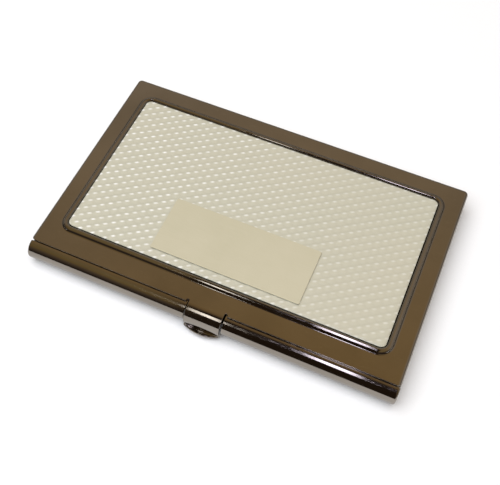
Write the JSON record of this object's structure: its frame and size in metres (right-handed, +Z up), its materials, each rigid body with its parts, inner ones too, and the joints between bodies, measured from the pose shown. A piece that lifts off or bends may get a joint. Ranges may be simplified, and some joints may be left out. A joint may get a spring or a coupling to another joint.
{
  "type": "business card case",
  "caption": "Slim polished metal case for business cards: rolled-edge tray, hinged lid with thumb tab and an embossed inlay plate in a raised frame.",
  "frame": {"origin": "centre of the case's outline on the surface it lies on, lid up", "axes": "+X along the long edge, -Y towards the opening edge with the thumb tab, +Z up through the lid"},
  "size_m": [0.093, 0.0618, 0.0073],
  "materials": {
    "gunmetal": "mirror-polished dark nickel plating on steel",
    "spring_steel": "plain drawn steel",
    "inlay_metal": "embossed with a fine staggered diamond texture, pale champagne",
    "nameplate_metal": "satin champagne",
    "adhesive_film": "double-sided adhesive film"
  },
  "bodies": {
    "base": {"base_tray": "gunmetal", "base_hinge_leaf": "gunmetal", "hinge_pin": "spring_steel", "snap_spring": "spring_steel", "snap_rivet_left": "spring_steel", "snap_rivet_right": "spring_steel"},
    "lid": {"lid_shell": "gunmetal", "lid_hinge_leaf": "gunmetal", "inlay_adhesive": "adhesive_film", "inlay_plate": "inlay_metal", "nameplate_adhesive": "adhesive_film", "nameplate": "nameplate_metal"}
  },
  "joints": [
    {"name": "lid_hinge", "type": "hinge", "parent": "base", "child": "lid", "pos_m": [0, 0.02974, 0.0029], "axis": [-1, 0, 0], "range_deg": [0, 120]}
  ]
}
